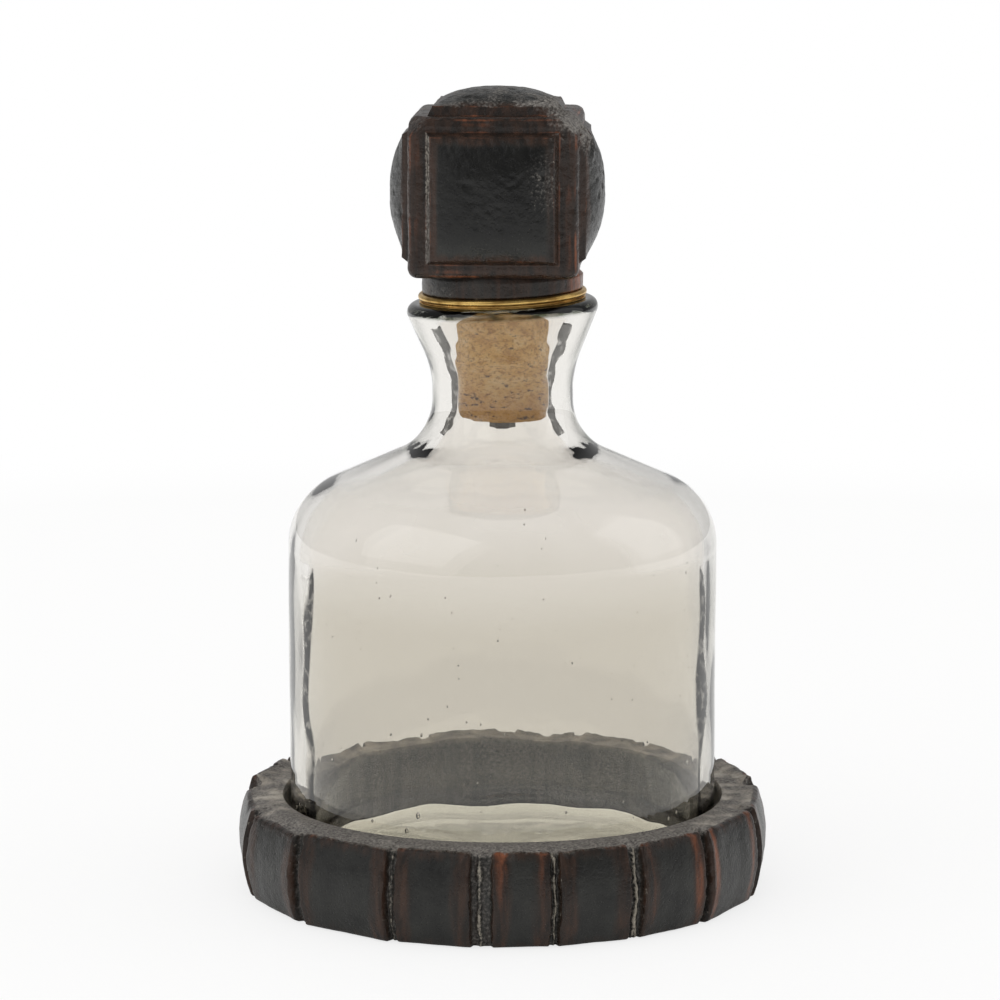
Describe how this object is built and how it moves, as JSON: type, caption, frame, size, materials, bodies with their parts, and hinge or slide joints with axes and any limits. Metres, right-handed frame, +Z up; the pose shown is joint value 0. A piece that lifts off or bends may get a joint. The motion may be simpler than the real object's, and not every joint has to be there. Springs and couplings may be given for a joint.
{
  "type": "stoppered glass decanter in a base ring",
  "caption": "Straight-bodied glass bottle with rounded shoulder, waisted neck and flared lip, closed by a cork stopper with a cast cube knob, standing in a low cast ring with a tiled face.",
  "frame": {"origin": "centre of the base ring's underside, on the bottle's axis", "axes": "+Z up along the bottle's axis, -Y towards the front, where the knob's face and the narrowest tile are"},
  "size_m": [0.1774, 0.1764, 0.265],
  "materials": {
    "cast_metal": "sand cast, dark patina, edges worn bare",
    "glass": "hand blown, clear with a faint grey-green tint",
    "cork": "natural cork, sanded",
    "brass": "turned, lightly aged",
    "steel": "plain, dull"
  },
  "bodies": {
    "base_ring": {"base_ring": "cast_metal"},
    "bottle": {"bottle": "glass"},
    "stopper": {"cork": "cork", "brass_disc": "brass", "knob": "cast_metal", "stud": "steel", "washer": "steel", "nut": "steel"}
  },
  "joints": [
    {"name": "bottle_lift", "type": "slide", "parent": "base_ring", "child": "bottle", "axis": [0, 0, 1], "range_m": [0, 0.05]},
    {"name": "stopper_lift", "type": "slide", "parent": "bottle", "child": "stopper", "axis": [0, 0, 1], "range_m": [0, 0.06]}
  ]
}
